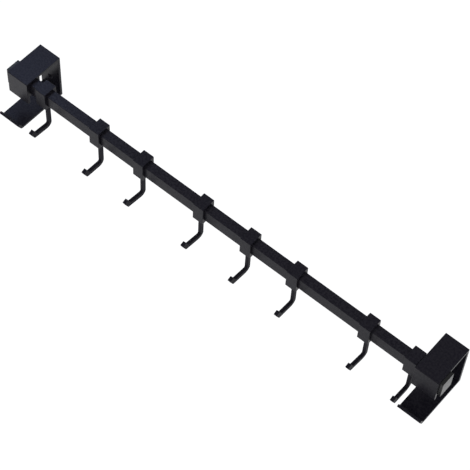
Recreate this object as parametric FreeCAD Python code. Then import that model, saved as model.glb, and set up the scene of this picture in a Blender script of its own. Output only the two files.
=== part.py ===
import FreeCAD, Part
import math
import os

from FreeCAD import Vector

# Pot rack: a rectangular rail between two open strip brackets, with eight sliding hooks.
# X runs along the rail to the right, Y runs back into the wall, Z is up, in millimetres.
# The origin is the centre of the four wall screw holes, on the wall's face (Y = 0).

# Rail, as long as the rack is over its two brackets
rack_length = 914.0
bar_depth = 18.5
bar_height = 26.5
bar_wall = 2.0
bar_corner_radius = 1.0

# Brackets
plate_width = 45.5
plate_thickness = 4.8
bracket_depth = 81.8
bracket_height = 100.6
front_plate_height = 51.2
tongue_reach = 18.7
lip_rise = 11.0
lip_angle = 60.0
lip_bend_radius = 1.5
outer_corner_radius = 1.2
inner_corner_radius = 0.8
plate_edge_break = 0.4

# Wall screw holes, two to each bracket
wall_hole_diameter = 5.5
wall_hole_pitch = 18.0
countersink_diameter = 10.5
countersink_angle = 90.0

# Sockets that hold the rail inside the brackets
socket_side_wall = 4.2
socket_flat_wall = 2.3
socket_fit = 0.2
socket_corner_relief = 1.2
socket_setback = 1.0

# End caps
cap_side_margin = 4.9
cap_flat_margin = 5.0
cap_thickness = 6.0
cap_corner_radius = 1.2
cap_edge_break = 0.5
cap_plug_length = 12.0
cap_plug_wall = 1.8
cap_plug_fit = 0.1

# Screws that lock the rail in its sockets
screw_diameter = 5.0
screw_reach = 3.0
screw_head_diameter = 9.5
screw_head_height = 2.75
screw_head_rim = 1.2
screw_crown_diameter = 6.0
screw_key_size = 3.0
screw_key_depth = 1.6
screw_hole_clearance = 0.25
screw_thread_clearance = 0.05

# Sliding collars
collar_width = 21.4
collar_side_wall = 4.6
collar_flat_wall = 6.3
collar_clearance = 0.4
collar_corner_radius = 1.0

# Hooks, cut from plate and welded on under the collars
hook_width = 6.4
hook_edge_break = 0.3
hook_drop = 54.3
hook_reach = 13.4
stem_depth = 6.9
arm_height = 8.3
tip_thickness = 9.0
tip_rise = 11.7
tip_angle = 62.0
stem_inner_radius = 3.6
stem_outer_radius = 12.0
tip_inner_radius = 2.4
tip_outer_radius = 4.0
tip_end_radius = 2.2

# Where each collar stands along the free run between the brackets, as a share of its travel
collar_places = (0.020, 0.174, 0.297, 0.461, 0.586, 0.706, 0.888, 0.999)

# How far each hook was welded on beside its collar's middle, and the degrees its tip points aside
hook_shifts = (1.3, 0.9, -1.5, -3.9, -2.4, -1.5, 1.1, -0.2)
hook_turns = (-2.5, -1.0, -3.8, -3.7, -2.2, -1.1, -2.8, -0.8)

# The radius of a corner that stays sharp
sharp = 0.0

# Levels and faces worked out from the sizes above
wall_y = 0.0
front_y = wall_y - bracket_depth
window_height = bracket_height - plate_thickness - front_plate_height
bottom_z = -plate_thickness - window_height / 2.0
top_z = bottom_z + bracket_height
bar_y = front_y + plate_thickness + socket_side_wall + socket_fit + bar_depth / 2.0
bar_z = top_z - plate_thickness - socket_flat_wall - socket_fit - bar_height / 2.0
collar_depth = bar_depth + 2.0 * (collar_clearance + collar_side_wall)
collar_height = bar_height + 2.0 * (collar_clearance + collar_flat_wall)
collar_floor_z = bar_z - collar_height / 2.0
bracket_centre_x = (rack_length - plate_width) / 2.0
free_run = rack_length - 2.0 * plate_width
bar_bore_radius = max(bar_corner_radius - bar_wall, sharp)


def point(y, z):
    """A point of a side outline, in the plane X = 0."""
    return Vector(0.0, y, z)


def rounded_wire(corners, closed=True):
    """Lines through (y, z, radius) corners in the side plane, each corner rounded by a tangent arc."""
    count = len(corners)
    starts = []
    ends = []
    edges = []
    for index, (y, z, radius) in enumerate(corners):
        corner = point(y, z)
        is_end = not closed and index in (0, count - 1)
        if is_end or radius == sharp:
            starts.append(corner)
            ends.append(corner)
            continue
        before = corners[index - 1]
        after = corners[(index + 1) % count]
        towards_before = (point(before[0], before[1]) - corner).normalize()
        towards_after = (point(after[0], after[1]) - corner).normalize()
        half_angle = towards_before.getAngle(towards_after) / 2.0
        middle = (towards_before + towards_after).normalize()
        reach = radius / math.tan(half_angle)
        depth = radius / math.sin(half_angle) - radius
        starts.append(corner + towards_before * reach)
        ends.append(corner + towards_after * reach)
        edges.append(Part.Arc(starts[-1], corner + middle * depth, ends[-1]).toShape())
    last = count if closed else count - 1
    for index in range(last):
        line_start = ends[index]
        line_end = starts[(index + 1) % count]
        edges.append(Part.LineSegment(line_start, line_end).toShape())
    return Part.Wire(Part.__sortEdges__(edges))


def prism(wire, centre_x, width):
    """The solid of a side outline, with its width spread evenly about centre_x."""
    solid = Part.Face(wire).extrude(Vector(width, 0.0, 0.0))
    solid.translate(Vector(centre_x - width / 2.0, 0.0, 0.0))
    return solid


def rectangular_prism(centre_x, width, depth, height, radius):
    """A rounded rectangle about the rail's axis, extruded along the rail."""
    half_depth = depth / 2.0
    half_height = height / 2.0
    corners = [
        (bar_y - half_depth, bar_z - half_height, radius),
        (bar_y + half_depth, bar_z - half_height, radius),
        (bar_y + half_depth, bar_z + half_height, radius),
        (bar_y - half_depth, bar_z + half_height, radius),
    ]
    return prism(rounded_wire(corners), centre_x, width)


def upright_cylinder(radius, height, centre_x, centre_y, base_z):
    """A cylinder with a vertical axis."""
    return Part.makeCylinder(radius, height, Vector(centre_x, centre_y, base_z), Vector(0, 0, 1))


def edges_of_side(solid, side_x):
    """The edges of the outer outline of a solid's flat side at side_x."""
    tolerance = 1e-6
    for face in solid.Faces:
        box = face.BoundBox
        if abs(box.XMin - side_x) < tolerance and abs(box.XMax - side_x) < tolerance:
            return face.OuterWire.Edges
    raise ValueError("no flat side at the stated place")


def break_side_edges(solid, size):
    """Bevel the outlines of a solid's two sides a little."""
    box = solid.BoundBox
    edges = edges_of_side(solid, box.XMin) + edges_of_side(solid, box.XMax)
    return solid.makeChamfer(size, edges)


def make_bar():
    """The rail: a rectangular tube, drilled from below for a lock screw near each end."""
    tube = rectangular_prism(0.0, rack_length, bar_depth, bar_height, bar_corner_radius)
    bore_depth = bar_depth - 2.0 * bar_wall
    bore_height = bar_height - 2.0 * bar_wall
    bore = rectangular_prism(0.0, rack_length, bore_depth, bore_height, bar_bore_radius)
    tube = tube.cut(bore)
    for side in (-1.0, 1.0):
        hole_radius = screw_diameter / 2.0 + screw_thread_clearance
        floor_z = bar_z - bar_height / 2.0
        hole = upright_cylinder(hole_radius, bar_wall, side * bracket_centre_x, bar_y, floor_z)
        tube = tube.cut(hole)
    return tube


def bracket_outline():
    """The strip's side outline: front plate, top, wall plate, bottom, tongue and leaning lip."""
    angle = math.radians(lip_angle)
    inner_front_y = front_y + plate_thickness
    inner_wall_y = wall_y - plate_thickness
    inner_top_z = top_z - plate_thickness
    inner_bottom_z = bottom_z + plate_thickness
    front_end_z = top_z - front_plate_height
    lip_inner_y = front_y - tongue_reach
    lip_outer_y = lip_inner_y - plate_thickness * math.tan(angle / 2.0)
    tip_inner_y = lip_inner_y - lip_rise / math.tan(angle)
    tip_inner_z = inner_bottom_z + lip_rise
    tip_outer_y = tip_inner_y - plate_thickness * math.sin(angle)
    tip_outer_z = tip_inner_z - plate_thickness * math.cos(angle)
    lip_outer_radius = lip_bend_radius + plate_thickness
    return rounded_wire([
        (front_y, front_end_z, sharp),
        (front_y, top_z, outer_corner_radius),
        (wall_y, top_z, outer_corner_radius),
        (wall_y, bottom_z, outer_corner_radius),
        (lip_outer_y, bottom_z, lip_outer_radius),
        (tip_outer_y, tip_outer_z, sharp),
        (tip_inner_y, tip_inner_z, sharp),
        (lip_inner_y, inner_bottom_z, lip_bend_radius),
        (inner_wall_y, inner_bottom_z, inner_corner_radius),
        (inner_wall_y, inner_top_z, inner_corner_radius),
        (inner_front_y, inner_top_z, inner_corner_radius),
        (inner_front_y, front_end_z, sharp),
    ])


def wall_hole(centre_x, centre_z):
    """The space of one wall screw: a through hole with a countersink on the plate's inner face."""
    hole_radius = wall_hole_diameter / 2.0
    sink_radius = countersink_diameter / 2.0
    sink_depth = (sink_radius - hole_radius) / math.tan(math.radians(countersink_angle / 2.0))
    into_wall = Vector(0.0, 1.0, 0.0)
    mouth = Vector(centre_x, wall_y - plate_thickness, centre_z)
    hole = Part.makeCylinder(hole_radius, plate_thickness, mouth, into_wall)
    sink = Part.makeCone(sink_radius, hole_radius, sink_depth, mouth, into_wall)
    return hole.fuse(sink)


def make_bracket(side):
    """One bracket: the bent strip with broken side edges and its two wall screw holes."""
    centre_x = side * bracket_centre_x
    strip = prism(bracket_outline(), centre_x, plate_width)
    strip = break_side_edges(strip, plate_edge_break)
    for level in (-0.5, 0.5):
        strip = strip.cut(wall_hole(centre_x, level * wall_hole_pitch))
    return strip


def make_socket(side):
    """The sleeve in the corner of the front and top plates that takes the rail's end."""
    outer_x = side * rack_length / 2.0
    length = plate_width - socket_setback
    centre_x = outer_x - side * length / 2.0
    bore_depth = bar_depth + 2.0 * socket_fit
    bore_height = bar_height + 2.0 * socket_fit
    depth = bore_depth + 2.0 * socket_side_wall
    height = bore_height + 2.0 * socket_flat_wall
    corner_radius = inner_corner_radius + socket_corner_relief
    sleeve = rectangular_prism(centre_x, length, depth, height, corner_radius)
    bore = rectangular_prism(centre_x, length, bore_depth, bore_height, bar_corner_radius + socket_fit)
    hole_radius = screw_diameter / 2.0 + screw_hole_clearance
    floor_z = bar_z - height / 2.0
    hole = upright_cylinder(hole_radius, socket_flat_wall, side * bracket_centre_x, bar_y, floor_z)
    return sleeve.cut(bore).cut(hole)


def make_end_cap(side):
    """The cap on the rail's end: a thick plate with a hollow plug in the rail's bore."""
    outer_x = side * rack_length / 2.0
    plate_centre_x = outer_x + side * cap_thickness / 2.0
    plate_depth = bar_depth + 2.0 * cap_side_margin
    plate_height = bar_height + 2.0 * cap_flat_margin
    plate = rectangular_prism(plate_centre_x, cap_thickness, plate_depth, plate_height, cap_corner_radius)
    plate = plate.makeChamfer(cap_edge_break, edges_of_side(plate, outer_x + side * cap_thickness))
    plug_centre_x = outer_x - side * cap_plug_length / 2.0
    plug_depth = bar_depth - 2.0 * (bar_wall + cap_plug_fit)
    plug_height = bar_height - 2.0 * (bar_wall + cap_plug_fit)
    plug = rectangular_prism(plug_centre_x, cap_plug_length, plug_depth, plug_height, bar_bore_radius)
    hollow_depth = plug_depth - 2.0 * cap_plug_wall
    hollow_height = plug_height - 2.0 * cap_plug_wall
    hollow = rectangular_prism(plug_centre_x, cap_plug_length, hollow_depth, hollow_height, sharp)
    return plate.fuse(plug.cut(hollow)).removeSplitter()


def make_lock_screw(side):
    """A button-head screw with a hexagon key socket, up through the socket's floor into the rail."""
    key_sides = 6
    centre_x = side * bracket_centre_x
    seat_z = bar_z - bar_height / 2.0 - socket_fit - socket_flat_wall
    shank_length = socket_flat_wall + socket_fit + bar_wall + screw_reach
    shank = upright_cylinder(screw_diameter / 2.0, shank_length, centre_x, bar_y, seat_z)
    head_radius = screw_head_diameter / 2.0
    crown_height = screw_head_height - screw_head_rim
    crown_z = seat_z - screw_head_height
    up = Vector(0.0, 0.0, 1.0)
    crown_base = Vector(centre_x, bar_y, crown_z)
    rim = upright_cylinder(head_radius, screw_head_rim, centre_x, bar_y, seat_z - screw_head_rim)
    crown = Part.makeCone(screw_crown_diameter / 2.0, head_radius, crown_height, crown_base, up)
    key_radius = screw_key_size / 2.0 / math.cos(math.pi / key_sides)
    key_points = []
    for corner in range(key_sides + 1):
        turn = corner * 2.0 * math.pi / key_sides
        key_points.append(crown_base + Vector(key_radius * math.cos(turn), key_radius * math.sin(turn), 0.0))
    key = Part.Face(Part.makePolygon(key_points)).extrude(up * screw_key_depth)
    return shank.fuse(rim).fuse(crown).cut(key).removeSplitter()


def collar_centre_x(place):
    """The middle of a collar that stands at a share of its travel between the brackets."""
    travel = free_run - collar_width
    return place * travel - travel / 2.0


def make_collar(centre_x):
    """A rectangular sleeve that slides on the rail."""
    sleeve = rectangular_prism(centre_x, collar_width, collar_depth, collar_height, collar_corner_radius)
    bore_depth = bar_depth + 2.0 * collar_clearance
    bore_height = bar_height + 2.0 * collar_clearance
    bore = rectangular_prism(centre_x, collar_width, bore_depth, bore_height, bar_corner_radius + collar_clearance)
    return sleeve.cut(bore)


def hook_outline():
    """The hook's side outline: down the stem, forward along the arm and up the leaning tip."""
    angle = math.radians(tip_angle)
    stem_front_y = bar_y - stem_depth / 2.0
    stem_back_y = bar_y + stem_depth / 2.0
    arm_top_z = collar_floor_z - hook_drop
    arm_base_z = arm_top_z - arm_height
    corner_y = front_y - hook_reach
    tip_inner_y = corner_y - tip_rise / math.tan(angle)
    tip_inner_z = arm_top_z + tip_rise
    tip_outer_y = tip_inner_y - tip_thickness * math.sin(angle)
    tip_outer_z = tip_inner_z - tip_thickness * math.cos(angle)
    outer_corner_y = tip_outer_y + (tip_outer_z - arm_base_z) / math.tan(angle)
    return rounded_wire([
        (stem_front_y, collar_floor_z, sharp),
        (stem_front_y, arm_top_z, stem_inner_radius),
        (corner_y, arm_top_z, tip_inner_radius),
        (tip_inner_y, tip_inner_z, sharp),
        (tip_outer_y, tip_outer_z, tip_end_radius),
        (outer_corner_y, arm_base_z, tip_outer_radius),
        (stem_back_y, arm_base_z, stem_outer_radius),
        (stem_back_y, collar_floor_z, sharp),
    ])


def make_hook(centre_x, turn):
    """A hook: its outline cut from plate, its side edges broken, and turned a little about its stem."""
    hook = break_side_edges(prism(hook_outline(), 0.0, hook_width), hook_edge_break)
    hook.rotate(Vector(0.0, bar_y, 0.0), Vector(0.0, 0.0, 1.0), turn)
    hook.translate(Vector(centre_x, 0.0, 0.0))
    return hook


def all_pieces():
    """Every piece of the rack by its name."""
    pieces = {"bar": make_bar()}
    for name, side in (("left", -1.0), ("right", 1.0)):
        pieces["bracket_" + name] = make_bracket(side)
        pieces["bar_socket_" + name] = make_socket(side)
        pieces["end_cap_" + name] = make_end_cap(side)
        pieces["lock_screw_" + name] = make_lock_screw(side)
    for number, (place, shift, turn) in enumerate(zip(collar_places, hook_shifts, hook_turns), start=1):
        centre_x = collar_centre_x(place)
        pieces["collar_%d" % number] = make_collar(centre_x)
        pieces["hook_%d" % number] = make_hook(centre_x + shift, turn)
    return pieces


def main():
    """Write each piece to its own STEP file."""
    os.makedirs("parts", exist_ok=True)
    for name, shape in all_pieces().items():
        if len(shape.Solids) != 1 or not shape.isValid():
            raise ValueError(name + " is not one valid solid")
        shape.Solids[0].exportStep("parts/%s.step" % name)
        print("%-18s %10.0f mm3" % (name, shape.Volume))


main()
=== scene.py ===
"""Looks of a wall-mounted pot rack: a black coated rail in two strip brackets, with eight sliding hooks.

Lengths are in metres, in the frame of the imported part: X runs along the rail to the right, Y runs back
into the wall and Z is up. The pieces that show rounded edges and bends are built here as finer meshes,
and each stands for its CAD node. The rail and its sockets stay as packed, and are only dressed.
"""
import logging
import math
from dataclasses import dataclass
from enum import Enum
from typing import Sequence

import bmesh
import bpy
from mathutils import Euler, Matrix, Vector
from mathutils.geometry import tessellate_polygon


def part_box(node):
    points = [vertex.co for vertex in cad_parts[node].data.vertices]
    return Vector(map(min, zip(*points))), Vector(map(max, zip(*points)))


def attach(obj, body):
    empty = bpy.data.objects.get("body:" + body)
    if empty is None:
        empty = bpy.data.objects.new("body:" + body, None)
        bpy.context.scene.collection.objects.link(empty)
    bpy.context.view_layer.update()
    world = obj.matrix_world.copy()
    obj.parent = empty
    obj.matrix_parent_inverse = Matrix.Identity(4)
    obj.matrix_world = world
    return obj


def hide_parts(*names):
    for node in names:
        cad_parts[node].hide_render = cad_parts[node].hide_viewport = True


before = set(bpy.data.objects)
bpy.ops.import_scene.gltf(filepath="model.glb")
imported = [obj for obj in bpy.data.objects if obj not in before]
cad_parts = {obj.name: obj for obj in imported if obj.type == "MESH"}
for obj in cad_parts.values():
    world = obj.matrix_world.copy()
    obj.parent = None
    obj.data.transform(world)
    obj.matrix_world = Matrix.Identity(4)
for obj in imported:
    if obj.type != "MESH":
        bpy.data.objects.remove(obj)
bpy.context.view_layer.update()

RACK_BODY = "rack"
MM = 0.001
LEVEL_TOLERANCE = 1e-6
QUARTER_TURN = math.pi / 2.0
FULL_TURN = math.tau

Triple = tuple[float, float, float]
Ring = list[bmesh.types.BMVert]
Material = bpy.types.Material
NodeTree = bpy.types.NodeTree
Socket = bpy.types.NodeSocket

# How far each hook was welded on beside its collar's middle, in mm, and the degrees its tip points aside
HOOK_SHIFTS = (1.3, 0.9, -1.5, -3.9, -2.4, -1.5, 1.1, -0.2)
HOOK_TURNS = (-2.5, -1.0, -3.8, -3.7, -2.2, -1.1, -2.8, -0.8)

log = logging.getLogger("pot_rack")


class Side(Enum):
    """The rack's two ends, with the direction in which each faces along X."""

    LEFT = -1
    RIGHT = 1

    @property
    def label(self) -> str:
        """The end's name as the CAD nodes spell it."""
        return self.name.lower()


class Slot(Enum):
    """The record's material slots."""

    PAINTED_STEEL = "painted_steel"
    CAP_PLASTIC = "cap_plastic"
    SCREW_STEEL = "screw_steel"


@dataclass(frozen=True)
class Corner:
    """A corner of a side outline.

    Args:
        y: Place along Y.
        z: Place along Z.
        radius: Radius of the arc that rounds it, or 0 for a sharp corner.
    """

    y: float
    z: float
    radius: float = 0.0


@dataclass(frozen=True)
class Hole:
    """A round hole through a plate, with a countersink on the side it is entered from.

    Args:
        x: Place of its axis along X.
        z: Place of its axis along Z.
        radius: Radius of the hole.
        sink_radius: Radius of the countersink's mouth.
        easing: Rounding of its rims.
        mouth_drop: Depth of the mouth's rounding, as a share of its width.
    """

    x: float
    z: float
    radius: float
    sink_radius: float
    easing: float = 0.15 * MM
    mouth_drop: float = 0.4


def rounded_outline(corners: Sequence[Corner], steps: int = 8) -> list[Vector]:
    """Turn the corners of a side outline into points, with an arc at each rounded corner.

    Args:
        corners: The corners in order round the outline.
        steps: Straight steps in a quarter turn of arc.

    Returns:
        The outline's points as 2D vectors of Y and Z.
    """
    points: list[Vector] = []
    count = len(corners)
    for index, corner in enumerate(corners):
        here = Vector((corner.y, corner.z))
        if corner.radius <= 0.0:
            points.append(here)
            continue
        before = corners[index - 1]
        after = corners[(index + 1) % count]
        back = (Vector((before.y, before.z)) - here).normalized()
        ahead = (Vector((after.y, after.z)) - here).normalized()
        half_angle = back.angle(ahead) / 2.0
        reach = corner.radius / math.tan(half_angle)
        centre = here + (back + ahead).normalized() * corner.radius / math.sin(half_angle)
        start = here + back * reach - centre
        turn = (math.pi - 2.0 * half_angle) * math.copysign(1.0, back.y * ahead.x - back.x * ahead.y)
        pieces = max(2, math.ceil(abs(turn) / QUARTER_TURN * steps))
        for step in range(pieces + 1):
            angle = turn * step / pieces
            cosine, sine = math.cos(angle), math.sin(angle)
            across = start.x * cosine - start.y * sine
            up = start.x * sine + start.y * cosine
            points.append(centre + Vector((across, up)))
    return points


def mitres(outline: Sequence[Vector]) -> list[Vector]:
    """Find the way in which each point of an outline moves when the outline shrinks by one unit.

    Args:
        outline: A closed outline whose material lies to its left.

    Returns:
        One vector to a point, into the material.
    """
    moves: list[Vector] = []
    count = len(outline)
    for index in range(count):
        into = (outline[index] - outline[index - 1]).normalized()
        out = (outline[(index + 1) % count] - outline[index]).normalized()
        left_in = Vector((-into.y, into.x))
        left_out = Vector((-out.y, out.x))
        moves.append((left_in + left_out) / (1.0 + left_in.dot(left_out)))
    return moves


def signed_area(outline: Sequence[Vector]) -> float:
    """The area inside an outline, above 0 where it runs anticlockwise."""
    return sum(a.cross(b) for a, b in zip(outline, [*outline[1:], outline[0]])) / 2.0


def box_outline(
    low: Vector, high: Vector, radius: float, inset_y: float = 0.0, inset_z: float = 0.0
) -> list[Vector]:
    """Outline a box as its side shows it, with rounded corners.

    Args:
        low: The box's lowest corner.
        high: Its highest corner.
        radius: Radius of the outline's corners.
        inset_y: How far both sides move in along Y.
        inset_z: How far both sides move in along Z.

    Returns:
        The outline's points.
    """
    low_y, high_y = low.y + inset_y, high.y - inset_y
    low_z, high_z = low.z + inset_z, high.z - inset_z
    places = ((low_y, low_z), (high_y, low_z), (high_y, high_z), (low_y, high_z))
    return rounded_outline([Corner(y, z, radius) for y, z in places])


def even_turns(steps: int) -> list[float]:
    """Angles spread evenly over a full turn."""
    return [FULL_TURN * step / steps for step in range(steps)]


def bridge(mesh: bmesh.types.BMesh, rings: Sequence[Ring]) -> None:
    """Join closed rings of points, each to the next one, by bands of faces."""
    for near, far in zip(rings, rings[1:]):
        for index in range(len(near)):
            after = (index + 1) % len(near)
            mesh.faces.new((near[index], near[after], far[after], far[index]))


class RunMesh:
    """A mesh made by running a side outline along X, with the edges of its two sides rounded.

    Args:
        low_x: Its low end along X.
        high_x: Its high end along X.
        edge_radius: Radius of the rounded edges.
        edge_steps: Steps in which each edge is rounded.
        mesh: The mesh to build into, or None for a new one.
    """

    def __init__(
        self, low_x: float, high_x: float, edge_radius: float, edge_steps: int = 3,
        mesh: bmesh.types.BMesh | None = None,
    ) -> None:
        self.mesh = bmesh.new() if mesh is None else mesh
        self.low_x = low_x
        self.high_x = high_x
        self.edge_radius = edge_radius
        self.edge_steps = edge_steps

    def stations(self) -> list[tuple[float, float]]:
        """The places along X at which the outline is drawn, each with how far it is shrunk there."""
        rises = []
        for step in range(self.edge_steps + 1):
            angle = QUARTER_TURN * step / self.edge_steps
            away, inset = 1.0 - math.cos(angle), 1.0 - math.sin(angle)
            rises.append((self.edge_radius * away, self.edge_radius * inset))
        low = [(self.low_x + away, inset) for away, inset in rises]
        high = [(self.high_x - away, inset) for away, inset in reversed(rises)]
        return low + high

    def add_run(self, outline: Sequence[Vector], openings: Sequence[Sequence[Vector]] = ()) -> None:
        """Add a solid run of an outline.

        Args:
            outline: The outer outline.
            openings: Outlines of the hollows that run right through it.
        """
        loops = [self._wound(outline, 1.0)] + [self._wound(opening, -1.0) for opening in openings]
        runs: list[list[Ring]] = []
        for loop in loops:
            moves = mitres(loop)
            runs.append([
                [self.mesh.verts.new((x, p.x + m.x * inset, p.y + m.y * inset)) for p, m in zip(loop, moves)]
                for x, inset in self.stations()
            ])
        for rings in runs:
            bridge(self.mesh, rings)
        for station, flip in ((0, True), (-1, False)):
            flat = [rings[station] for rings in runs]
            corners = [vertex for ring in flat for vertex in ring]
            for triangle in tessellate_polygon([[vertex.co for vertex in ring] for ring in flat]):
                a, b, c = (corners[index] for index in triangle)
                faces_high = (b.co - a.co).cross(c.co - a.co).x > 0.0
                self.mesh.faces.new((a, b, c) if faces_high != flip else (a, c, b))

    @staticmethod
    def _wound(outline: Sequence[Vector], sign: float) -> list[Vector]:
        """The outline's points in the order that gives its area the asked sign."""
        return list(outline) if signed_area(outline) * sign > 0.0 else list(reversed(outline))

    def drill(self, holes: Sequence[Hole], mouth_y: float, back_y: float, steps: int = 40) -> None:
        """Cut countersunk holes along Y through the flat plate between two levels of Y.

        Args:
            holes: The holes.
            mouth_y: The plate's face that has the countersinks.
            back_y: The plate's other face.
            steps: Sides of each hole.
        """
        rims: dict[float, list[Ring]] = {mouth_y: [], back_y: []}
        towards = math.copysign(1.0, back_y - mouth_y)
        spokes = [(math.cos(turn), math.sin(turn)) for turn in even_turns(steps)]
        for hole in holes:
            profile = [
                (hole.sink_radius + hole.easing, mouth_y),
                (hole.sink_radius, mouth_y + towards * hole.easing * hole.mouth_drop),
                (hole.radius, mouth_y + towards * (hole.sink_radius - hole.radius)),
                (hole.radius, back_y - towards * hole.easing),
                (hole.radius + hole.easing, back_y),
            ]
            rings = [
                [
                    self.mesh.verts.new((hole.x + radius * across, y, hole.z + radius * up))
                    for across, up in spokes
                ]
                for radius, y in profile
            ]
            bridge(self.mesh, rings)
            rims[mouth_y].append(rings[0])
            rims[back_y].append(rings[-1])
        for level, loops in rims.items():
            plate = self._widest_face(level, holes[0])
            border = list(plate.verts)
            self.mesh.faces.remove(plate)
            corners = border + [vertex for loop in loops for vertex in loop]
            polygons = [[Vector((v.co.x, v.co.z, 0.0)) for v in loop] for loop in [border, *loops]]
            for triangle in tessellate_polygon(polygons):
                self.mesh.faces.new([corners[index] for index in triangle])
        bmesh.ops.recalc_face_normals(self.mesh, faces=self.mesh.faces)

    def _widest_face(self, level: float, hole: Hole) -> bmesh.types.BMFace:
        """The largest face that lies at a level of Y and spans a hole's axis."""
        found = [
            face for face in self.mesh.faces
            if all(abs(v.co.y - level) < LEVEL_TOLERANCE for v in face.verts)
            and min(v.co.z for v in face.verts) < hole.z < max(v.co.z for v in face.verts)
        ]
        return max(found, key=lambda face: face.calc_area())


def add_object(name: str, data: bpy.types.ID) -> bpy.types.Object:
    """Add an object with its data to the scene."""
    made = bpy.data.objects.new(name, data)
    bpy.context.scene.collection.objects.link(made)
    return made


def stand_in(
    node: str, name: str, built: bmesh.types.BMesh, material: Material,
    body: str, sharp_angle: float = 50.0,
) -> None:
    """Turn a built mesh into a piece with even shading that stands for a CAD node.

    Args:
        node: The CAD node that it stands for.
        name: What the piece's name adds to the node's.
        built: Its mesh, which is freed.
        material: Its material.
        body: The CAD body that it rides on.
        sharp_angle: Edges that turn by more than this stay sharp, in degrees.
    """
    bmesh.ops.recalc_face_normals(built, faces=built.faces)
    for face in built.faces:
        face.smooth = True
    limit = math.radians(sharp_angle)
    for edge in built.edges:
        edge.smooth = len(edge.link_faces) == 2 and edge.calc_face_angle() < limit
    data = bpy.data.meshes.new(f"{node}_{name}")
    built.to_mesh(data)
    built.free()
    data.materials.append(material)
    piece = add_object(data.name, data)
    piece.modifiers.new("Even shading", "WEIGHTED_NORMAL").keep_sharp = True
    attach(piece, body)
    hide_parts(node)
    log.info("%s stands for %s, %d faces", piece.name, node, len(piece.data.polygons))


def dress_node(node: str, material: Material) -> None:
    """Give a CAD node that stays its material.

    Args:
        node: The CAD node.
        material: The material for all its slots.
    """
    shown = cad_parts[node]
    if not shown.material_slots:
        shown.data.materials.append(material)
    for material_slot in shown.material_slots:
        material_slot.material = material
    log.info("%s is dressed in %s", node, material.name)


# Effects that several finishes share


class Wiring:
    """A node tree with short ways to add nodes and links.

    Args:
        tree: The node tree.
    """

    def __init__(self, tree: NodeTree) -> None:
        self.tree = tree

    def wire(self, source: object, target: Socket) -> None:
        """Link a socket to an input, or give the input a number or a colour."""
        if isinstance(source, Socket):
            self.tree.links.new(source, target)
        else:
            target.default_value = (*source, 1.0) if isinstance(source, tuple) else source

    def node(self, kind: str, inputs: dict[str, object] | None = None, **settings: object) -> bpy.types.Node:
        """Add a node.

        Args:
            kind: Its type.
            inputs: What its inputs get, by name: a socket, a number or a colour.
            settings: Its other settings.

        Returns:
            The node.
        """
        made = self.tree.nodes.new(kind)
        for key, value in settings.items():
            setattr(made, key, value)
        for name, source in (inputs or {}).items():
            self.wire(source, made.inputs[name])
        return made

    def math(self, operation: str, *sources: object, clamp: bool = False) -> Socket:
        """Add a Math node.

        Args:
            operation: What it does.
            sources: The sockets or numbers that it takes.
            clamp: Whether its result is held between 0 and 1.

        Returns:
            Its output.
        """
        made = self.node("ShaderNodeMath", operation=operation, use_clamp=clamp)
        for source, target in zip(sources, made.inputs):
            self.wire(source, target)
        return made.outputs[0]


class Effect(Wiring):
    """A shader node group: one effect on a place, with named inputs and outputs.

    Args:
        name: The group's name.
        numbers: The numbers that it takes, by name, with their usual values.
        results: The names of what it gives.
    """

    def __init__(self, name: str, numbers: dict[str, float], results: Sequence[str]) -> None:
        super().__init__(bpy.data.node_groups.new(name, "ShaderNodeTree"))
        face = self.tree.interface
        face.new_socket(name="Place", in_out="INPUT", socket_type="NodeSocketVector")
        for title, value in numbers.items():
            made = face.new_socket(name=title, in_out="INPUT", socket_type="NodeSocketFloat")
            made.default_value = value
        for title in results:
            face.new_socket(name=title, in_out="OUTPUT", socket_type="NodeSocketFloat")
        self.inside = self.node("NodeGroupInput")
        self.outside = self.node("NodeGroupOutput")

    def given(self, name: str) -> Socket:
        """The socket inside the group that holds one of its inputs."""
        return self.inside.outputs[name]

    def noise(self, place: Socket, scale: object, detail: float, roughness: float) -> Socket:
        """Add a Noise Texture node and return its value."""
        inputs = {"Vector": place, "Scale": scale, "Detail": detail, "Roughness": roughness}
        return self.node("ShaderNodeTexNoise", inputs).outputs[0]

    def ramp(self, value: Socket, low: float, high: float) -> Socket:
        """Stretch a value so that low becomes 0 and high becomes 1, with soft ends."""
        inputs = {"Value": value, "From Min": low, "From Max": high}
        return self.node("ShaderNodeMapRange", inputs, interpolation_type="SMOOTHSTEP").outputs[0]

    def send(self, value: Socket, name: str) -> None:
        """Put a value out of the group."""
        self.wire(value, self.outside.inputs[name])


def build_coat_texture() -> NodeTree:
    """Build the surface of a baked coating: long soft waves like orange peel, with a fine grain on them.

    Returns:
        The group.
    """
    numbers = {"Waves per metre": 420.0, "Grains per metre": 2600.0, "Grain share": 0.3}
    effect = Effect("Coat texture", numbers, ["Height"])
    place = effect.given("Place")
    waves = effect.noise(place, effect.given("Waves per metre"), detail=1.5, roughness=0.45)
    grains = effect.noise(place, effect.given("Grains per metre"), detail=2.0, roughness=0.6)
    shared = effect.math("MULTIPLY", grains, effect.given("Grain share"))
    effect.send(effect.math("ADD", waves, shared), "Height")
    return effect.tree


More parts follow.
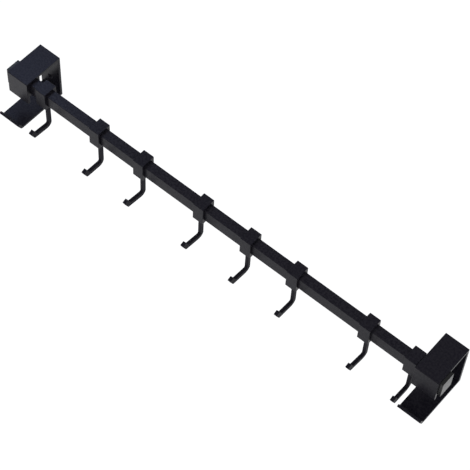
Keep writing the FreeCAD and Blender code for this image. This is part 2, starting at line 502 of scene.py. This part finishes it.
def build_tone_drift() -> NodeTree:
    """Build slow cloudy changes of tone across a surface, with a mottle and small specks in them.

    Returns:
        The group.
    """
    numbers = {"Clouds per metre": 22.0, "Mottles per metre": 300.0, "Specks per metre": 1400.0}
    effect = Effect("Tone drift", numbers, ["Clouds", "Mottles", "Specks"])
    place = effect.given("Place")
    clouds = effect.noise(place, effect.given("Clouds per metre"), detail=4.0, roughness=0.55)
    effect.send(effect.ramp(clouds, low=0.3, high=0.7), "Clouds")
    mottles = effect.noise(place, effect.given("Mottles per metre"), detail=2.0, roughness=0.6)
    effect.send(effect.ramp(mottles, low=0.35, high=0.65), "Mottles")
    specks = effect.noise(place, effect.given("Specks per metre"), detail=1.0, roughness=0.5)
    effect.send(effect.ramp(specks, low=0.62, high=0.8), "Specks")
    return effect.tree


def build_edge_rub() -> NodeTree:
    """Build a mask of the edges, where a coating is thin and gets rubbed, broken up along its length.

    Returns:
        The group.
    """
    effect = Effect("Edge rub", {"Breaks per metre": 160.0, "Amount": 0.6}, ["Edges"])
    bevel = effect.node("ShaderNodeBevel", {"Radius": 0.9 * MM}, samples=6)
    flat = effect.node("ShaderNodeNewGeometry")
    dot = effect.node("ShaderNodeVectorMath", operation="DOT_PRODUCT")
    effect.wire(bevel.outputs["Normal"], dot.inputs[0])
    effect.wire(flat.outputs["True Normal"], dot.inputs[1])
    turned = effect.math("SUBTRACT", 1.0, dot.outputs["Value"])
    edge = effect.ramp(turned, low=0.015, high=0.22)
    breaks = effect.noise(effect.given("Place"), effect.given("Breaks per metre"), detail=3.0, roughness=0.6)
    worn = effect.math("MULTIPLY", edge, effect.ramp(breaks, low=0.25, high=0.65))
    effect.send(effect.math("MULTIPLY", worn, effect.given("Amount")), "Edges")
    return effect.tree


def build_rub_lines() -> NodeTree:
    """Build fine lines along the rail, as sliding collars leave them.

    Returns:
        The group.
    """
    effect = Effect("Rub lines", {"Amount": 0.5}, ["Lines"])
    stretch = effect.node("ShaderNodeMapping", {"Vector": effect.given("Place")})
    stretch.inputs["Scale"].default_value = (0.012, 1.0, 1.0)
    lines = effect.noise(stretch.outputs["Vector"], scale=1500.0, detail=2.0, roughness=0.7)
    runs = effect.noise(effect.given("Place"), scale=14.0, detail=2.0, roughness=0.5)
    thin = effect.math(
        "MULTIPLY", effect.ramp(lines, low=0.58, high=0.72), effect.ramp(runs, low=0.45, high=0.7)
    )
    effect.send(effect.math("MULTIPLY", thin, effect.given("Amount")), "Lines")
    return effect.tree


@dataclass(frozen=True)
class Effects:
    """The effect groups, built once and placed in each finish.

    Args:
        coat_texture: Waves and grain of a coating.
        tone_drift: Clouds, mottle and specks of tone.
        edge_rub: Mask of rubbed edges.
        rub_lines: Lines that sliding leaves.
    """

    coat_texture: NodeTree
    tone_drift: NodeTree
    edge_rub: NodeTree
    rub_lines: NodeTree

    @classmethod
    def build(cls) -> "Effects":
        """Build every group."""
        return cls(build_coat_texture(), build_tone_drift(), build_edge_rub(), build_rub_lines())


class FinishTree(Wiring):
    """The node tree of one material, with its Principled shader and the effects placed in it.

    Args:
        name: The material's name.
    """

    def __init__(self, name: str) -> None:
        self.material = bpy.data.materials.new(name)
        self.material.use_nodes = True
        super().__init__(self.material.node_tree)
        self.shader = self.tree.nodes["Principled BSDF"]

    def effect(self, group: NodeTree, **values: float) -> bpy.types.NodeOutputs:
        """Place an effect group on the surface.

        Args:
            group: The effect.
            values: Its numbers by name, with _ for a space.

        Returns:
            What it gives.
        """
        place = self.node("ShaderNodeTexCoord").outputs["Object"]
        inputs = {key.replace("_", " "): value for key, value in values.items()}
        return self.node("ShaderNodeGroup", {"Place": place, **inputs}, node_tree=group).outputs

    def blend(self, mask: Socket, base: object, other: Triple) -> Socket:
        """Blend from a base colour, or a colour socket, to another colour by a mask."""
        inputs = {"Factor": mask, "A": base, "B": other}
        return self.node("ShaderNodeMix", inputs, data_type="RGBA").outputs["Result"]

    def feed(self, value: object, name: str) -> None:
        """Give a socket, a number or a colour to one of the shader's inputs."""
        self.wire(value, self.shader.inputs[name])


@dataclass(frozen=True)
class Finish:
    """What the rack's finishes share: layers of tone and roughness over a fine texture.

    Args:
        name: The material's name.
        colour: Its colour on flat faces.
        edge_colour: The tone of its rubbed edges.
        edge_amount: How much its edges are rubbed.
        roughness: Its roughness on flat faces.
        specular: Its specular level.
        depth: Depth of its texture.
        specular_tint: The tint of its reflections.
        metallic: 1 for bare metal, or 0.
        cloud_colour: The tone that it drifts to, if any.
        mottle_colour: The tone of its mottle, if any.
        cloud_roughness: What its clouds add to the roughness.
        speck_roughness: What its specks add to it.
        edge_roughness: What its rubbed edges add to it.
        rub_roughness: What the marks of sliding add to it.
        rub_amount: How much sliding has marked it.
        clouds: Its clouds per metre.
        specks: Its specks per metre.
        waves: The waves of its texture per metre.
        grains: The grains of its texture per metre.
        grain_share: How high the grains stand beside the waves.
    """

    name: str
    colour: Triple
    edge_colour: Triple
    edge_amount: float
    roughness: float
    specular: float
    depth: float
    specular_tint: Triple = (1.0, 1.0, 1.0)
    metallic: float = 0.0
    cloud_colour: Triple | None = None
    mottle_colour: Triple | None = None
    cloud_roughness: float = 0.0
    speck_roughness: float = 0.0
    edge_roughness: float = 0.0
    rub_roughness: float = 0.0
    rub_amount: float = 0.0
    clouds: float = 22.0
    specks: float = 1400.0
    waves: float = 420.0
    grains: float = 2600.0
    grain_share: float = 0.3

    def build(self, effects: Effects) -> Material:
        """Build the material.

        Args:
            effects: The shared effect groups.

        Returns:
            The material.
        """
        finish = FinishTree(self.name)
        finish.feed(self.metallic, "Metallic")
        finish.feed(self.specular, "Specular IOR Level")
        finish.feed(self.specular_tint, "Specular Tint")
        drift = finish.effect(
            effects.tone_drift, Clouds_per_metre=self.clouds, Specks_per_metre=self.specks
        )
        edges = finish.effect(effects.edge_rub, Amount=self.edge_amount)["Edges"]
        layers = [
            (drift["Clouds"], self.cloud_colour, self.cloud_roughness),
            (drift["Mottles"], self.mottle_colour, 0.0),
            (drift["Specks"], None, self.speck_roughness),
            (edges, self.edge_colour, self.edge_roughness),
        ]
        if self.rub_amount > 0.0:
            lines = finish.effect(effects.rub_lines, Amount=self.rub_amount)["Lines"]
            layers.append((lines, self.edge_colour, self.rub_roughness))
        colour, rough = self.colour, self.roughness
        for mask, tone, change in layers:
            if tone is not None:
                colour = finish.blend(mask, colour, tone)
            if change != 0.0:
                rough = finish.math("MULTIPLY_ADD", mask, change, rough)
        finish.feed(colour, "Base Color")
        finish.feed(rough, "Roughness")
        texture = finish.effect(
            effects.coat_texture, Waves_per_metre=self.waves, Grains_per_metre=self.grains,
            Grain_share=self.grain_share,
        )
        bump = finish.node("ShaderNodeBump", {"Height": texture["Height"], "Distance": self.depth})
        finish.feed(bump.outputs["Normal"], "Normal")
        return finish.material


@dataclass(frozen=True)
class CoatedSteel(Finish):
    """Black satin powder coating, slightly violet, baked on steel, with orange peel and a lighter mottle."""

    name: str = "Black coated steel"
    colour: Triple = (0.0060, 0.0055, 0.0090)
    cloud_colour: Triple = (0.0069, 0.0063, 0.0103)
    mottle_colour: Triple = (0.0145, 0.0138, 0.0183)
    edge_colour: Triple = (0.020, 0.021, 0.024)
    edge_amount: float = 0.5
    roughness: float = 0.28
    cloud_roughness: float = 0.05
    speck_roughness: float = 0.06
    edge_roughness: float = -0.06
    rub_roughness: float = -0.07
    specular: float = 0.077
    specular_tint: Triple = (0.84, 0.81, 1.0)
    depth: float = 9e-6


@dataclass(frozen=True)
class MouldedPlastic(Finish):
    """Black moulded plastic of the end caps, with handled edges and the fine grain of its mould."""

    name: str = "Black moulded plastic"
    colour: Triple = (0.0075, 0.0078, 0.0088)
    edge_colour: Triple = (0.019, 0.020, 0.022)
    edge_amount: float = 0.4
    roughness: float = 0.25
    cloud_roughness: float = 0.04
    speck_roughness: float = 0.08
    specular: float = 0.16
    depth: float = 1.4e-5
    clouds: float = 60.0
    specks: float = 2200.0
    waves: float = 1700.0
    grains: float = 5200.0
    grain_share: float = 0.5


@dataclass(frozen=True)
class BlackenedSteel(Finish):
    """Blackened steel of the lock screws, with bare steel showing at their edges."""

    name: str = "Blackened screw steel"
    colour: Triple = (0.040, 0.041, 0.046)
    edge_colour: Triple = (0.26, 0.26, 0.27)
    edge_amount: float = 0.7
    roughness: float = 0.38
    cloud_roughness: float = 0.10
    specular: float = 0.5
    metallic: float = 1.0
    depth: float = 6e-6
    clouds: float = 300.0
    waves: float = 2400.0
    grains: float = 9000.0


# The rack's own pieces


@dataclass
class Rail:
    """The rectangular rail with its two sockets, which stay as packed.

    Args:
        node: The rail's CAD node.
        socket_node: What the names of the sockets' CAD nodes begin with.
    """

    node: str = "bar"
    socket_node: str = "bar_socket"

    def dress(self, rail_coat: Material, socket_coat: Material) -> None:
        """Give the rail and the sockets their finish.

        Args:
            rail_coat: The rail's coating, marked by the sliding collars.
            socket_coat: The sockets' coating.
        """
        dress_node(self.node, rail_coat)
        for side in Side:
            dress_node(f"{self.socket_node}_{side.label}", socket_coat)


@dataclass
class Bracket:
    """One bracket: a flat strip bent into a loop, with a tongue and a leaning lip.

    Args:
        side: Which end of the rack it stands at.
        thickness: Thickness of the strip.
        front_height: Height of its front plate.
        front_y: The front plate's outer face.
        lip_rise: How far the lip stands over the tongue.
        lip_angle: The lip's angle from level, in degrees.
        tongue_reach: How far the tongue runs out past the front plate.
        lip_bend: Inside radius of the lip's bend.
        outer_radius: Outside radius of the loop's bends.
        inner_radius: Inside radius of the loop's bends.
        edge_radius: Rounding of the strip's side edges.
        end_rounding: Rounding of the strip's two ends, in edge radii.
        hole_radius: Radius of the wall screw holes.
        sink_radius: Radius of their countersinks.
        hole_pitch: Distance between the two holes.
    """

    side: Side
    thickness: float = 4.8 * MM
    front_height: float = 51.2 * MM
    front_y: float = -81.8 * MM
    lip_rise: float = 11.0 * MM
    lip_angle: float = 60.0
    tongue_reach: float = 18.7 * MM
    lip_bend: float = 1.5 * MM
    outer_radius: float = 1.2 * MM
    inner_radius: float = 0.8 * MM
    edge_radius: float = 0.35 * MM
    end_rounding: float = 1.5
    hole_radius: float = 2.75 * MM
    sink_radius: float = 5.25 * MM
    hole_pitch: float = 18.0 * MM

    def outline(self, low: Vector, high: Vector) -> list[Vector]:
        """The strip's side outline.

        Args:
            low: Lowest corner of the CAD bracket.
            high: Highest corner of it.

        Returns:
            The outline's points.
        """
        angle = math.radians(self.lip_angle)
        inner_front_y = self.front_y + self.thickness
        inner_wall_y = high.y - self.thickness
        inner_top_z = high.z - self.thickness
        floor_z = low.z + self.thickness
        front_end_z = high.z - self.front_height
        lip_inner_y = self.front_y - self.tongue_reach
        lip_outer_y = lip_inner_y - self.thickness * math.tan(angle / 2.0)
        tip_inner_y = lip_inner_y - self.lip_rise / math.tan(angle)
        tip_inner_z = floor_z + self.lip_rise
        tip_outer_y = tip_inner_y - self.thickness * math.sin(angle)
        tip_outer_z = tip_inner_z - self.thickness * math.cos(angle)
        end_radius = self.end_rounding * self.edge_radius
        return rounded_outline([
            Corner(self.front_y, front_end_z, end_radius),
            Corner(self.front_y, high.z, self.outer_radius),
            Corner(high.y, high.z, self.outer_radius),
            Corner(high.y, low.z, self.outer_radius),
            Corner(lip_outer_y, low.z, self.lip_bend + self.thickness),
            Corner(tip_outer_y, tip_outer_z, end_radius),
            Corner(tip_inner_y, tip_inner_z, end_radius),
            Corner(lip_inner_y, floor_z, self.lip_bend),
            Corner(inner_wall_y, floor_z, self.inner_radius),
            Corner(inner_wall_y, inner_top_z, self.inner_radius),
            Corner(inner_front_y, inner_top_z, self.inner_radius),
            Corner(inner_front_y, front_end_z, end_radius),
        ])

    def build(self, coat: Material) -> None:
        """Build the strip and let it stand for its CAD node.

        Args:
            coat: The strip's coating.
        """
        node = f"bracket_{self.side.label}"
        low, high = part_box(node)
        run = RunMesh(low.x, high.x, self.edge_radius)
        run.add_run(self.outline(low, high))
        centre_x = (low.x + high.x) / 2.0
        holes = [
            Hole(centre_x, level * self.hole_pitch, self.hole_radius, self.sink_radius)
            for level in (-0.5, 0.5)
        ]
        run.drill(holes, high.y - self.thickness, high.y)
        stand_in(node, "strip", run.mesh, coat, RACK_BODY)


@dataclass
class EndCap:
    """A closed cap on the rail's end, with its plug in the rail's bore.

    Args:
        side: Which end of the rail it closes.
        thickness: How far its plate stands out of the rail.
        corner_radius: Radius of the plate's four corners.
        edge_radius: Rounding of the plate's edges.
        rail_wall: The rail's wall plus the plug's fit in it.
        plug_wall: Wall of the hollow plug.
        plug_corner: Radius of the plug's four corners.
        plug_edge: Rounding of the plug's edges.
    """

    side: Side
    thickness: float = 6.0 * MM
    corner_radius: float = 1.6 * MM
    edge_radius: float = 0.4 * MM
    rail_wall: float = 2.1 * MM
    plug_wall: float = 1.8 * MM
    plug_corner: float = 0.6 * MM
    plug_edge: float = 0.3 * MM

    def build(self, plastic: Material) -> None:
        """Build the cap and let it stand for its CAD node.

        Args:
            plastic: The cap's plastic.
        """
        node = f"end_cap_{self.side.label}"
        low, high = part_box(node)
        rail_low, rail_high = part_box("bar")
        outer_x, plug_x = (high.x, low.x) if self.side is Side.RIGHT else (low.x, high.x)
        seat_x = outer_x - self.side.value * self.thickness
        plate = RunMesh(min(seat_x, outer_x), max(seat_x, outer_x), self.edge_radius, edge_steps=4)
        plate.add_run(box_outline(low, high, self.corner_radius))
        plug = RunMesh(
            min(seat_x, plug_x), max(seat_x, plug_x), self.plug_edge, edge_steps=2, mesh=plate.mesh
        )
        outer, hollow = (
            box_outline(rail_low, rail_high, self.plug_corner, inset, inset)
            for inset in (self.rail_wall, self.rail_wall + self.plug_wall)
        )
        plug.add_run(outer, [hollow])
        stand_in(node, "cover", plate.mesh, plastic, RACK_BODY)


@dataclass
class LockScrew:
    """A button-head screw that locks the rail in its socket from below.

    Args:
        side: Which socket it is in.
        head_height: Height of the head.
        rim_height: Height of the head's upright rim.
        crown_share: Radius of the head's flat crown, as a share of the head's.
        dome_steps: Steps in which the head is domed.
        shank_radius: Radius of the shank.
        key_half: Half the width across flats of its hexagon socket.
        key_depth: Depth of that socket.
        key_taper: The socket's size at its bottom, as a share of that at its mouth.
        easing: Rounding of the screw's edges.
        sharp_angle: Its edges that turn by more than this stay sharp, in degrees.
        steps: Steps round it.
    """

    side: Side
    head_height: float = 2.75 * MM
    rim_height: float = 0.9 * MM
    crown_share: float = 0.6
    dome_steps: int = 8
    shank_radius: float = 2.5 * MM
    key_half: float = 1.5 * MM
    key_depth: float = 1.6 * MM
    key_taper: float = 0.999
    easing: float = 0.18 * MM
    sharp_angle: float = 35.0
    steps: int = 72

    def hexagon(self, turn: float) -> float:
        """The distance from the axis to the key socket's wall at an angle."""
        side_turn = FULL_TURN / 6.0
        within = (turn + side_turn / 2.0) % side_turn - side_turn / 2.0
        return self.key_half / math.cos(within)

    def build(self, steel: Material) -> None:
        """Build the screw and let it stand for its CAD node.

        Args:
            steel: The screw's steel.
        """
        node = f"lock_screw_{self.side.label}"
        low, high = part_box(node)
        centre = (low + high) / 2.0
        head_radius = (high.x - low.x) / 2.0
        seat_z = low.z + self.head_height
        crown_radius = self.crown_share * head_radius
        easing = self.easing
        dome = []
        for step in range(self.dome_steps + 1):
            angle = QUARTER_TURN * step / self.dome_steps
            across = crown_radius + (head_radius - crown_radius) * math.sin(angle)
            rise = (self.head_height - self.rim_height) * (1.0 - math.cos(angle))
            dome.append((across, low.z + rise))
        round_rings = [
            *dome,
            (head_radius, seat_z - easing),
            (head_radius - easing, seat_z),
            (self.shank_radius + easing, seat_z),
            (self.shank_radius, seat_z + easing),
            (self.shank_radius, high.z - 2.0 * easing),
            (self.shank_radius - 2.0 * easing, high.z),
        ]
        built = bmesh.new()
        turns = even_turns(self.steps)

        def ring(radii: Sequence[float], z: float) -> Ring:
            """A closed ring of points about the screw's axis."""
            return [
                built.verts.new((centre.x + radius * math.cos(turn), centre.y + radius * math.sin(turn), z))
                for radius, turn in zip(radii, turns)
            ]

        key = [self.hexagon(turn) for turn in turns]
        rings = [
            ring([radius * self.key_taper for radius in key], low.z + self.key_depth),
            ring(key, low.z + easing),
            ring([radius + easing for radius in key], low.z),
        ]
        rings += [ring([radius] * self.steps, z) for radius, z in round_rings]
        bridge(built, rings)
        built.faces.new(list(reversed(rings[0])))
        built.faces.new(rings[-1])
        stand_in(node, "button", built, steel, RACK_BODY, self.sharp_angle)


@dataclass
class SlidingHook:
    """One collar on the rail with the plate-cut hook under it.

    Args:
        number: Its number from the left.
        shift: How far the hook was welded on beside its collar's middle.
        turn: How far its tip points aside, in degrees.
        wall_y: The collar's side wall.
        wall_z: The collar's top and bottom wall.
        bore_radius: Radius of the corners of the collar's bore.
        corner_radius: Radius of the collar's corners.
        collar_edge: Rounding of the collar's edges.
        width: The hook's width.
        edge: Rounding of the hook's side edges.
        stem_depth: Depth of its stem.
        stem_reach: How far the stem reaches into the collar's floor, as a share of it.
        arm_height: Height of its arm.
        stem_inner: Inside radius between the stem and the arm.
        stem_outer: Outside radius of that bend.
        inner_corner_y: Where the arm's top face meets the tip.
        tip_angle: The tip's angle from level, in degrees.
        tip_rise: How far the tip's inner face rises over the arm.
        tip_thickness: Thickness of the tip.
        tip_inner: Inside radius between the arm and the tip.
        tip_outer: Outside radius of that bend.
        tip_end: Radius of the tip's outer end.
    """

    number: int
    shift: float
    turn: float
    wall_y: float = 4.6 * MM
    wall_z: float = 6.3 * MM
    bore_radius: float = 1.4 * MM
    corner_radius: float = 1.0 * MM
    collar_edge: float = 0.3 * MM
    width: float = 6.4 * MM
    edge: float = 0.35 * MM
    stem_depth: float = 6.9 * MM
    stem_reach: float = 0.3
    arm_height: float = 8.3 * MM
    stem_inner: float = 3.6 * MM
    stem_outer: float = 12.0 * MM
    inner_corner_y: float = -95.2 * MM
    tip_angle: float = 62.0
    tip_rise: float = 11.7 * MM
    tip_thickness: float = 9.0 * MM
    tip_inner: float = 2.4 * MM
    tip_outer: float = 4.0 * MM
    tip_end: float = 2.2 * MM

    @property
    def body(self) -> str:
        """The CAD body that both ride on."""
        return f"sliding_hook_{self.number}"

    def build_collar(self, coat: Material) -> None:
        """Build the collar and let it stand for its CAD node.

        Args:
            coat: Its coating.
        """
        node = f"collar_{self.number}"
        low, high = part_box(node)
        run = RunMesh(low.x, high.x, self.collar_edge)
        bore = box_outline(low, high, self.bore_radius, self.wall_y, self.wall_z)
        run.add_run(box_outline(low, high, self.corner_radius), [bore])
        stand_in(node, "sleeve", run.mesh, coat, self.body)

    def hook_outline(self, stem_y: float, top_z: float, low: Vector) -> list[Vector]:
        """The hook's side outline.

        Args:
            stem_y: The stem's middle.
            top_z: The stem's top, at the collar's floor.
            low: Lowest corner of the CAD hook.

        Returns:
            The outline's points.
        """
        half = self.stem_depth / 2.0
        angle = math.radians(self.tip_angle)
        arm_low_z = low.z
        arm_high_z = low.z + self.arm_height
        inner_y = self.inner_corner_y
        tip_inner = Vector((inner_y - self.tip_rise / math.tan(angle), arm_high_z + self.tip_rise))
        tip_outer = tip_inner - Vector((math.sin(angle), math.cos(angle))) * self.tip_thickness
        outer_y = tip_outer.x + (tip_outer.y - arm_low_z) / math.tan(angle)
        return rounded_outline([
            Corner(stem_y - half, top_z),
            Corner(stem_y - half, arm_high_z, self.stem_inner),
            Corner(inner_y, arm_high_z, self.tip_inner),
            Corner(tip_inner.x, tip_inner.y, self.edge),
            Corner(tip_outer.x, tip_outer.y, self.tip_end),
            Corner(outer_y, arm_low_z, self.tip_outer),
            Corner(stem_y + half, arm_low_z, self.stem_outer),
            Corner(stem_y + half, top_z),
        ], steps=12)

    def build_hook(self, coat: Material) -> None:
        """Build the hook and let it stand for its CAD node.

        Args:
            coat: Its coating.
        """
        node = f"hook_{self.number}"
        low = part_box(node)[0]
        collar_low, collar_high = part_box(f"collar_{self.number}")
        middle = (collar_low + collar_high) / 2.0
        stem = Vector((middle.x + self.shift, middle.y, 0.0))
        run = RunMesh(stem.x - self.width / 2.0, stem.x + self.width / 2.0, self.edge)
        run.add_run(self.hook_outline(stem.y, collar_low.z + self.stem_reach * self.wall_z, low))
        aside = Matrix.Rotation(math.radians(self.turn), 3, "Z")
        bmesh.ops.rotate(run.mesh, cent=stem, matrix=aside, verts=run.mesh.verts)
        stand_in(node, "plate", run.mesh, coat, self.body)


# The studio


@dataclass(frozen=True)
class Softbox:
    """A square soft lamp.

    Args:
        name: The lamp's name.
        place: Where it stands.
        aim: The point that it faces.
        size: Its side.
        power: Its power in watts.
        colour: Its colour.
    """

    name: str
    place: Triple
    aim: Triple
    size: float
    power: float
    colour: Triple = (1.0, 1.0, 1.0)

    def build(self) -> None:
        """Build the lamp, which the camera doesn't see."""
        data = bpy.data.lights.new(self.name, "AREA")
        data.size = self.size
        data.energy = self.power
        data.color = self.colour
        lamp = add_object(self.name, data)
        lamp.location = self.place
        lamp.visible_camera = False
        lamp.rotation_mode = "QUATERNION"
        lamp.rotation_quaternion = (Vector(self.aim) - Vector(self.place)).to_track_quat("-Z", "Y")


@dataclass(frozen=True)
class Studio:
    """A plain pale floor, a white room and soft lamps.

    Args:
        floor_z: Level of the floor.
        floor_size: Side of the floor.
        floor_colour: Its pale colour.
        floor_roughness: Its roughness.
        floor_glow: What is added to it where it is seen, so that it shows white.
        room_level: Strength of the room's light on surfaces.
        lamps: The lamps.
    """

    floor_z: float = -0.9
    floor_size: float = 30.0
    floor_colour: Triple = (0.82, 0.82, 0.82)
    floor_roughness: float = 0.9
    floor_glow: float = 0.50
    room_level: float = 0.62
    lamps: tuple[Softbox, ...] = (
        Softbox("key softbox", place=(1.3, -2.0, 2.0), aim=(0.0, -0.05, 0.0),
                size=1.4, power=9.0, colour=(1.0, 0.99, 0.97)),
        Softbox("low softbox", place=(-0.93, -0.45, -0.62), aim=(-0.43, -0.08, 0.05),
                size=0.25, power=0.12),
        Softbox("cool softbox", place=(-0.65, -0.01, 0.53), aim=(-0.40, -0.18, 0.07),
                size=0.40, power=1.3, colour=(0.52, 0.71, 1.0)),
    )

    @staticmethod
    def seen(wiring: Wiring) -> Socket:
        """Tell the rays that see a thing from those that light the scene.

        Args:
            wiring: The node tree that asks.

        Returns:
            A value of 1 for rays from the camera, a reflection or glass, and 0 for the rest.
        """
        path = wiring.node("ShaderNodeLightPath").outputs
        total = path["Is Camera Ray"]
        for name in ("Is Glossy Ray", "Is Transmission Ray"):
            total = wiring.math("ADD", total, path[name], clamp=True)
        return total

    def build_floor(self) -> None:
        """Build the floor, which shows white, keeps shadows and is clear from below."""
        built = bmesh.new()
        bmesh.ops.create_grid(built, x_segments=6, y_segments=6, size=self.floor_size / 2.0)
        data = bpy.data.meshes.new("floor")
        built.to_mesh(data)
        built.free()
        floor = add_object("floor", data)
        floor.location.z = self.floor_z
        finish = FinishTree("Pale floor")
        finish.feed(self.floor_colour, "Base Color")
        finish.feed(self.floor_roughness, "Roughness")
        finish.feed(0.0, "Specular IOR Level")
        glow = finish.math("MULTIPLY", self.seen(finish), self.floor_glow)
        finish.feed(glow, "Emission Strength")
        clear = finish.node("ShaderNodeBsdfTransparent")
        under = finish.node("ShaderNodeNewGeometry")
        mix = finish.node("ShaderNodeMixShader", {"Fac": under.outputs["Backfacing"]})
        finish.wire(finish.shader.outputs["BSDF"], mix.inputs[1])
        finish.wire(clear.outputs["BSDF"], mix.inputs[2])
        finish.wire(mix.outputs["Shader"], finish.tree.nodes["Material Output"].inputs["Surface"])
        data.materials.append(finish.material)

    def build_room(self) -> None:
        """Light the scene with a white room, which shows at a strength of 1 where it is seen."""
        world = bpy.data.worlds.new("White room")
        world.use_nodes = True
        bpy.context.scene.world = world
        room = Wiring(world.node_tree)
        background = room.tree.nodes["Background"]
        room.wire((1.0, 1.0, 1.0), background.inputs["Color"])
        level = room.node("ShaderNodeMapRange", {"Value": self.seen(room), "To Min": self.room_level})
        room.wire(level.outputs["Result"], background.inputs["Strength"])

    def build(self) -> None:
        """Build the floor, the room and the lamps."""
        self.build_floor()
        self.build_room()
        for lamp in self.lamps:
            lamp.build()
        log.info("studio is lit")


@dataclass(frozen=True)
class StudioCamera:
    """The photograph's viewpoint.

    Args:
        place: Where the camera stands.
        turns: Its rotation about X, Y and Z, in degrees.
        lens: Its focal length in millimetres.
        sensor: Width of its sensor in millimetres.
    """

    place: Triple = (0.933776, -1.263327, 2.315089)
    turns: Triple = (33.343850, -2.180013, 40.087986)
    lens: float = 128.121
    sensor: float = 36.0

    def build(self) -> None:
        """Build the camera and make it the scene's."""
        data = bpy.data.cameras.new("camera")
        data.lens = self.lens
        data.sensor_fit = "HORIZONTAL"
        data.sensor_width = self.sensor
        camera = add_object("camera", data)
        camera.location = self.place
        camera.rotation_euler = Euler([math.radians(turn) for turn in self.turns], "XYZ")
        bpy.context.scene.camera = camera


def build_rack() -> None:
    """Build and dress every piece of the rack in order."""
    effects = Effects.build()
    coat = CoatedSteel().build(effects)
    rail_coat = CoatedSteel(
        name="Rail coating", specular=0.070, mottle_colour=(0.0182, 0.0172, 0.0222), rub_amount=0.25
    ).build(effects)
    hook_coat = CoatedSteel(name="Hook coating", roughness=0.5, specular=0.05).build(effects)
    plastic = MouldedPlastic().build(effects)
    screw_steel = BlackenedSteel().build(effects)
    Rail().dress(rail_coat, coat)
    for side in Side:
        Bracket(side).build(coat)
        EndCap(side).build(plastic)
        LockScrew(side).build(screw_steel)
    for number, (shift, turn) in enumerate(zip(HOOK_SHIFTS, HOOK_TURNS), start=1):
        hook = SlidingHook(number, shift * MM, turn)
        hook.build_collar(coat)
        hook.build_hook(hook_coat)


def main() -> None:
    """Build the scene."""
    logging.basicConfig(level=logging.INFO, format="%(name)s: %(message)s")
    bpy.context.scene.view_settings.view_transform = "Standard"
    StudioCamera().build()
    Studio().build()
    build_rack()


if __name__ == "__main__":
    main()
